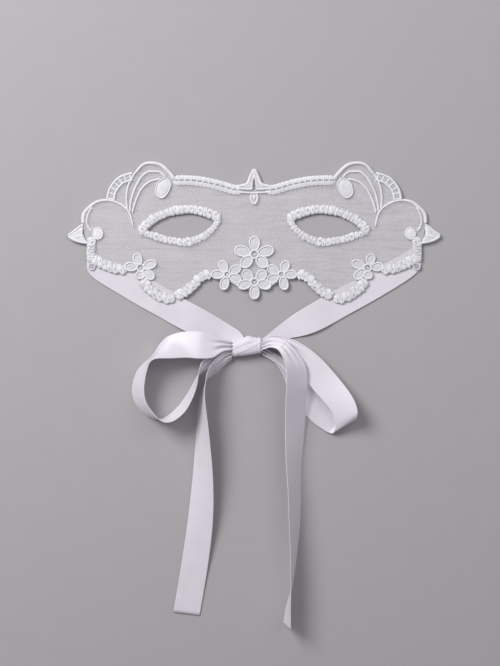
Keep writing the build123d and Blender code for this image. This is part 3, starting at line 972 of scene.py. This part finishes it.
# a thin ribbon body round a sheet of points, a little thicker at its woven edges
def ribbonBody(sheet):
    columns = sheet.shape[1]
    t = np.linspace(-1, 1, columns)
    sheet[..., 2] = np.maximum(sheet[..., 2], ribbonLook["clear"])
    out = np.cross(np.gradient(sheet, axis=0), np.gradient(sheet, axis=1))
    out /= np.linalg.norm(out, axis=2)[..., None] + 1e-12
    edgeStart = ribbonLook["selvedgeFrom"]
    edge = np.clip((np.abs(t) - edgeStart) / (1 - edgeStart), 0, 1)
    half = ribbonLook["thickness"] / 2
    thick = half + (ribbonLook["selvedge"] - half) * np.sin(np.pi * edge)
    thick[[0, -1]] = ribbonLook["endThickness"]
    top = sheet + out * thick[None, :, None]
    under = sheet - out * thick[None, :, None]
    grid = np.concatenate([top, under[:, ::-1]], axis=1)
    along = distances(sheet.mean(1))
    weave = np.empty((len(sheet), 2 * columns, 2))
    weave[..., 0] = np.r_[t, t[::-1]][None, :] * ribbonLook["width"] / 2
    weave[..., 1] = along[:, None]
    tone = np.r_[np.ones(columns), np.zeros(columns)]  # bright on its face, matt on its back
    return {"grid": grid[:, ::-1], "tone": tone[None, ::-1], "weave": weave[:, ::-1], "along": along}


def addRows(work, body, first=0, last=None):
    rows = slice(first, last)
    addGrid(work, body["grid"][rows], body["tone"], weave=body["weave"][rows])
    along = body["along"][rows]
    return along[-1] - along[0]


# a ribbon between two edges, with the spare width taken up in soft pleats
def pleatedSheet(edgeA, edgeB, pleatDepth=1.0):
    t = np.linspace(-1, 1, ribbonLook["columns"])
    middle, half = (edgeA + edgeB) / 2, (edgeB - edgeA) / 2
    wide = 2 * np.linalg.norm(half, axis=1)
    ahead = np.gradient(middle, axis=0)
    normal = np.cross(ahead, half)
    normal /= np.linalg.norm(normal, axis=1)[:, None]
    spare = np.clip((1 - wide / ribbonLook["width"]) / 0.6, 0, 1)
    depth = ribbonLook["deepest"] * spare**1.4 * pleatDepth
    pleats = ribbonLook["pleats"]
    fold = np.sin(np.pi * pleats * (t + 0.16 * np.sin(2.4 * t + 0.7)) + 0.9) * (1 - np.abs(t) ** 6)
    lift = depth[:, None] * fold[None, :]
    return middle[:, None, :] + half[:, None, :] * t[None, :, None] + normal[:, None, :] * lift[..., None]


# heights with their sharp turns taken out
def evenOut(heights, reach=5):
    padded = np.pad(heights, reach, mode="edge")
    return np.convolve(padded, np.ones(2 * reach + 1) / (2 * reach + 1), mode="valid")


# the two edges of a free ribbon from its stations: middle x and y, height of its underside,
# direction in plan from one edge to the other, tilt, and how much of the width is left by gathering
def stationEdges(stations, steps=9):
    rows = smoothLine(stations, steps=steps)
    x, y, low, turn, tilt, gather = rows.T
    turn, tilt = np.radians(turn), np.radians(tilt)
    wide = ribbonLook["width"] * gather
    rise = wide * np.sin(tilt)
    step = (wide / 2 * np.cos(tilt))[:, None] * np.stack([np.cos(turn), np.sin(turn)], 1)
    flat = np.stack([x, y], 1)
    base = low + ribbonLook["lie"]
    edgeA = np.column_stack([flat - step, evenOut(base + np.maximum(0, -rise))])
    edgeB = np.column_stack([flat + step, evenOut(base + np.maximum(0, rise))])
    return edgeA, edgeB


knotLook = {
    "centre": (-4.4, -88.2),
    "length": 17.6,
    "depth": 10.0,
    "height": 6.7,
    "tilt": 8,  # degrees
    "round": 0.8,  # less than 1 is squarer than round
    "wrap": 0.95,
    "pinch": 0.13,  # how much the wrap narrows to its two ends
    "bump": 0.34,  # the fold that stands up on its upper side
    "creases": ((-0.84, 0.06), (0.86, 0.07), (0.62, 0.03)),  # place across the wrap, and height
    "core": 0.82,
    "corePast": 0.5,  # how far the ribbons inside show past the wrap
}
leftEnd = knotLook["centre"][0] - knotLook["length"] / 2
rightEnd = knotLook["centre"][0] + knotLook["length"] / 2

loopLook = {
    "bend": 0.007,  # metres of ribbon beside the knot
    "left": [
        (leftEnd - 0.2, -87.3, 5.1, -90, 8, 0.33), (-19, -87, 7.2, -88, 8, 0.52),
        (-25, -87.6, 8.9, -88, 6, 0.87), (-32.5, -87, 9.5, -90, 4, 1),
        (-41.5, -86.8, 5.8, -82, 14, 1), (-49.6, -88.2, 3.9, -75, 32, 1),
        (-55.3, -90.4, 1.6, -75, 56, 1), (-59.2, -93.1, 0.3, -72, 75, 1),
        (-62.1, -95.8, 0.1, -60, 81, 1), (-64.6, -98.9, 0.1, -28, 75, 1),
        (-67.3, -103.8, 0, -10, 65, 1), (-69.1, -111, 0, 0, 59.6, 1),
        (-68.9, -117.6, 0, 0, 59, 1), (-66.7, -123, 0, 9, 62, 1),
        (-62.8, -127.5, 0, 25, 69, 1), (-58.9, -130.2, 0, 50, 79, 1),
        (-55.6, -131.2, 0, 80, 90, 1), (-52.2, -131.3, 0, 120, 101, 1),
        (-48.3, -129.5, 0, 138, 107, 1), (-43, -124.6, 0, 146, 109, 1),
        (-38.6, -117.8, 0, 150, 106, 1), (-35.5, -111, 0, 152, 101, 1),
        (-33.7, -105.9, 0, 148, 94, 0.95), (-31.6, -101.7, 0.3, 138, 78, 0.7),
        (-28.1, -97.6, 0.6, 122, 40, 0.5), (-21.4, -93, 0.9, 110, 15, 0.36),
        (leftEnd - 0.2, -89.7, 1, 92, 5, 0.3),
    ],
    "right": [
        (rightEnd + 0.2, -86.4, 3, -90, 5, 0.34), (9.8, -84.2, 3.3, -88, 6, 0.36),
        (16.1, -85, 3.7, -100, 5, 0.42), (23, -88.5, 4, -118, 4, 0.56),
        (29.1, -93.9, 4.3, -130, 3, 0.76), (35.1, -100.9, 4.6, -136, 2, 0.95),
        (41, -108, 5, -140, 0, 1), (47.3, -115.6, 5.8, -147, -8, 1),
        (52, -122.1, 6.2, -152, -18, 1), (54.4, -127.8, 6, -154, -24, 1),
        (54.8, -132, 5, -152, -25, 1), (53.8, -135.3, 2.8, -147, -18, 1),
        (51.5, -135, 0.8, -143, -10, 1), (47.3, -132.6, 0.1, -140, -4, 1),
        (39.5, -126.6, 0, -139, 0, 1), (32.3, -118.2, 0, -148, 0, 0.98),
        (26.3, -109.8, 0, -158, 0, 0.85), (20.9, -102.3, 0.1, -156, 2, 0.55),
        (14, -95.7, 0.5, -130, 4, 0.32), (rightEnd + 0.2, -90.3, 0.8, -92, 5, 0.3),
    ],
}
tailLook = {
    "bend": 0.006,
    "rootRows": 24,  # rows of the smoothed ribbon in its root piece
    "left": [
        (leftEnd - 0.4, -92.7, 2.5, 100, 12, 0.32), (-16.9, -94.2, 1.9, 112, 28, 0.45),
        (-21.1, -97.8, 0.9, 118, 53, 0.65), (-25, -101.7, 0.4, 125, 70, 0.85),
        (-27.3, -105.3, 0.1, 145, 82, 0.95), (-28.6, -108.3, 0, 160, 90, 1),
        (-29.8, -112.2, 0, 172, 95, 1), (-30.7, -117.6, 0, 180, 100.5, 1),
        (-31, -122.4, 0, 180, 106, 1), (-30.8, -134.4, 0, 180, 116, 1),
        (-30.7, -147, 0, 180, 126, 1), (-30.7, -166.8, 0, 176, 142, 1),
        (-32.2, -192, 0, 173, 162, 1), (-35.8, -219.6, 0, 171, 178, 1),
        (-40.6, -248.2, 0, 173, 180, 1),
    ],
    "right": [
        (rightEnd + 0.4, -87, 4.8, -90, 5, 0.35), (9.5, -85.2, 5.6, -95, 30, 0.45),
        (14.6, -86.2, 6.6, -120, 40, 0.52), (18.2, -88.8, 7.2, -145, 43, 0.65),
        (21.5, -93.3, 7.3, -162, 43, 0.8), (24.8, -100.2, 7.4, -176, 38, 0.95),
        (25.4, -109.8, 6.7, -180, 36.7, 1), (24.8, -120, 4.8, -180, 38.6, 1),
        (24.5, -130.8, 2.6, -180, 40, 1), (24.1, -144, 0.8, -178, 45, 1),
        (23.6, -159, 0.1, -178, 54, 1), (23.9, -173.4, 0, -179, 60, 1),
        (23.9, -192, 0, -182, 65, 1), (23.3, -211.2, 0, -183, 76, 1),
        (22, -231.6, 0, -185, 87, 1), (20.3, -243.6, 0, -186, 98, 1),
        (19.5, -254, 0, -195, 105, 1),
    ],
}


# a ribbon beside the knot, its placement baked into its mesh
def bendAtKnot(piece):
    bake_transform(piece)


def ribbonLoop(side):
    name = side + "_loop"
    work = newWork()
    length = addRows(work, ribbonBody(pleatedSheet(*stationEdges(loopLook[side]))))
    piece = makePiece(work, name + "_satin", satin)
    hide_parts(name)
    bendAtKnot(piece)


# each tail is one ribbon in two pieces: its root beside the knot, and the rest
def ribbonTail(side):
    name, loop = side + "_tail", side + "_loop"
    edgeA, edgeB = stationEdges(tailLook[side])
    ribbon = ribbonBody(pleatedSheet(edgeA, edgeB))
    root, rest = newWork(), newWork()
    split = tailLook["rootRows"]
    rootLength = addRows(root, ribbon, 0, split + 1)
    length = addRows(rest, ribbon, split)
    rootPiece = makePiece(root, name + "_root_satin", satin)
    piece = makePiece(rest, name + "_satin", satin)
    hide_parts(name)
    bendAtKnot(rootPiece)
    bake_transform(piece)


print("loops and tails")
for makeRibbon in (ribbonLoop, ribbonTail):
    for side in ("left", "right"):
        makeRibbon(side)


# ties, from their sewn ends to the knot

tieLook = {
    "left": {
        "outer": [
            (-100.3, -26.4), (-100.3, -30), (-100.3, -36), (-100.3, -41.4), (-97.9, -45.3), (-93.1, -49.2),
            (-83.9, -54.8), (-70.1, -63), (-56.3, -70.6), (-42.5, -78.2), (-29.5, -83.1), (-19.3, -86.1),
            (-10.9, -87),
        ],
        "inner": [
            (-98.5, -26.4), (-95.5, -30), (-92.8, -34.1), (-87.8, -36.1), (-81.7, -38.2), (-71.5, -42.6),
            (-56.5, -50.7), (-40.4, -60.2), (-28.7, -66.5), (-14.9, -74.8), (-8, -79.6), (-4.9, -84.8),
        ],
    },
    "right": {
        "outer": [
            (100.1, -24.9), (100.1, -30), (100.1, -39.6), (96, -45.1), (87.1, -51.3), (73.3, -59.6),
            (56, -69.2), (42.2, -76.8), (31.9, -80.9), (21.6, -83), (12.5, -84.6), (2.3, -87),
        ],
        "inner": [
            (99.5, -24.9), (95.3, -28.6), (86, -34.1), (78.1, -38.2), (60.8, -47.9), (48.5, -54.1),
            (39.5, -59.2), (25, -67.9), (14.7, -75.4), (5, -83), (-1.5, -85),
        ],
    },
    "lie": 0.24,  # height of its middle where it is flat
    "wave": 0.9,
    "waveLength": 34,
    "edgeLag": 1.1,  # radians by which the waves of its inner edge lag
    # shares of its length: where the waves start, over how much, where they stop, over how much
    "waves": (0.45, 0.2, 0.98, 0.1),
    "knotRise": 1.6,
    "riseFrom": 0.86,
}


def tieEdges(tie, rows=150):
    edges = [evenly(smoothLine(tie[side]), 1, count=rows) for side in ("outer", "inner")]
    share = np.linspace(0, 1, rows + 1)
    # flat beneath the mask, then in slow waves, and up into the knot
    start, startOver, stop, stopOver = tieLook["waves"]
    free = np.clip((share - start) / startOver, 0, 1) * np.clip((stop - share) / stopOver, 0, 1)
    run = share * distances((edges[0] + edges[1]) / 2)[-1]
    riseFrom = tieLook["riseFrom"]
    into = np.clip((share - riseFrom) / (1 - riseFrom), 0, 1) ** 2 * tieLook["knotRise"]
    raised = []
    for flat, lag in zip(edges, (0.0, tieLook["edgeLag"])):
        swell = 0.5 - 0.5 * np.cos(2 * np.pi * run / tieLook["waveLength"] + lag)
        wave = tieLook["wave"] * free * swell
        raised.append(np.column_stack([flat, tieLook["lie"] + wave + into]))
    return raised


print("ties")
for side in ("left", "right"):
    edgeA, edgeB = tieEdges(tieLook[side])
    if side == "right":  # so that its bright face is up too
        edgeA, edgeB = edgeB, edgeA
    work = newWork()
    length = addRows(work, ribbonBody(pleatedSheet(edgeA, edgeB, pleatDepth=0.0)))
    piece = makePiece(work, side + "_tie_satin", satin)
    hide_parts(side + "_tie", side + "_tie_end")
    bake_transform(piece)


# knot

# a point on the bunch of ribbon at the knot: along it, and an angle round it
def knotPoint(along, turn, size):
    depth = squared(np.cos(turn), knotLook["round"]) * size * knotLook["depth"] / 2
    height = squared(np.sin(turn), knotLook["round"]) * size * knotLook["height"] / 2
    tilt = math.radians(knotLook["tilt"])
    x = knotLook["centre"][0] + along * math.cos(tilt) - depth * math.sin(tilt) * 0.5
    y = knotLook["centre"][1] + along * math.sin(tilt) + depth
    return np.stack(np.broadcast_arrays(x, y, knotLook["height"] / 2 + height), -1)


# the wrap goes once round and laps over itself underneath, creased at both ends
def knotWrap():
    turn = np.linspace(-0.5 * np.pi, 1.5 * np.pi, 121)[:, None]
    t = np.linspace(-1, 1, ribbonLook["columns"])[None, :]
    size = knotLook["wrap"] - knotLook["pinch"] * np.abs(t) ** 2.5
    size = size + knotLook["bump"] * np.exp(-(((t - 0.12) / 0.36) ** 2)) * np.clip(np.cos(turn), 0, 1) ** 1.5
    for place, high in knotLook["creases"]:
        size = size + high * np.exp(-(((t - place - 0.05 * np.sin(turn)) / 0.07) ** 2))
    # a fold that runs slantwise over its top, with a hollow beside it
    size = size + 0.05 * np.exp(-(((t * 0.5 + turn - 1.75) / 0.14) ** 2))
    size = size - 0.045 * np.exp(-(((t * 0.35 + turn - 1.35) / 0.12) ** 2))
    along = t * (knotLook["length"] / 2 - 0.3) + 0.35 * t * np.sin(2 * turn + 0.5)
    work = newWork()
    length = addRows(work, ribbonBody(knotPoint(along, turn, size)[:, ::-1]))
    return makePiece(work, "bow_knot_satin", satin), length


# the ribbons squeezed inside the wrap, with their folded edges showing at its ends
def knotCore():
    rows, columns = 24, 96
    along = np.linspace(-1, 1, rows)[:, None]
    turn = np.linspace(0, 2 * np.pi, columns, endpoint=False)[None, :]
    pleat = knotLook["core"] + 0.06 * np.sin(5 * turn + 2 * along) + 0.03 * np.sin(9 * turn - 1)
    reach = knotLook["length"] / 2 + knotLook["corePast"]
    grid = knotPoint(along * reach, turn, pleat * (1 - 0.10 * along**4))
    weave = np.stack([turn * 5 + 0 * along, along * 8 + 0 * turn], -1)
    work = newWork()
    addGrid(work, grid[:, ::-1], np.full((rows, columns), 0.8), weave=weave[:, ::-1])
    return makePiece(work, "bow_knot_core_satin", satin)


print("knot")
knot, length = knotWrap()
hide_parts("bow_knot")
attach(knot, "strap")
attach(knotCore(), "strap")


# floor, light and camera

studio = {
    "floor": (0.43, 0.415, 0.425, 1),
    "floorSize": 12.0,
    "floorLevel": -0.0004,
    "centre": (-0.0025, -0.0798),
    "frameHeight": 0.3996,
    "lens": 85,
    "sensor": 36,
    # place, size and power
    "lamps": {"key": ((-0.62, 0.50, 0.80), 0.62, 11.5), "fill": ((0.50, 0.38, 0.90), 0.8, 2.3)},
    "air": (0.93, 0.93, 1.0, 1),
    "airLight": 0.30,
}

print("studio")
bpy.ops.mesh.primitive_plane_add(size=studio["floorSize"], location=(0, 0, studio["floorLevel"]))
floor = bpy.context.object
floor.name = "floor"
paper, tree, shader = newMaterial("studioPaper")
speck = addNode(tree, "ShaderNodeTexNoise", Scale=900.0, Detail=2.0)
tint = mixColour(tree, speck.outputs[0], studio["floor"], darker(studio["floor"], 0.96))
tree.links.new(tint, shader.inputs["Base Color"])
setSockets(shader, Roughness=0.9, Specular_IOR_Level=0.15)
floor.data.materials.append(paper)

target = Vector((*studio["centre"], 0))
for name, (place, size, power) in studio["lamps"].items():
    lamp = bpy.data.lights.new(name + "Light", "AREA")
    lamp.shape = "DISK"
    lamp.size = size
    lamp.energy = power
    light = bpy.data.objects.new(name + "Light", lamp)
    light.location = place
    light.rotation_euler = (target - light.location).to_track_quat("-Z", "Y").to_euler()
    bpy.context.scene.collection.objects.link(light)

world = bpy.data.worlds.new("studioAir")
world.use_nodes = True
air = world.node_tree.nodes["Background"]
air.inputs["Color"].default_value = studio["air"]
air.inputs["Strength"].default_value = studio["airLight"]
bpy.context.scene.world = world

cameraData = bpy.data.cameras.new("overhead")
cameraData.lens = studio["lens"]
cameraData.sensor_fit = "VERTICAL"
cameraData.sensor_height = studio["sensor"]
camera = bpy.data.objects.new("overhead", cameraData)
away = studio["frameHeight"] * studio["lens"] / studio["sensor"]
camera.location = (*studio["centre"], away)
bpy.context.scene.collection.objects.link(camera)
bpy.context.scene.camera = camera
bpy.context.scene.view_settings.view_transform = "Standard"

print("done")
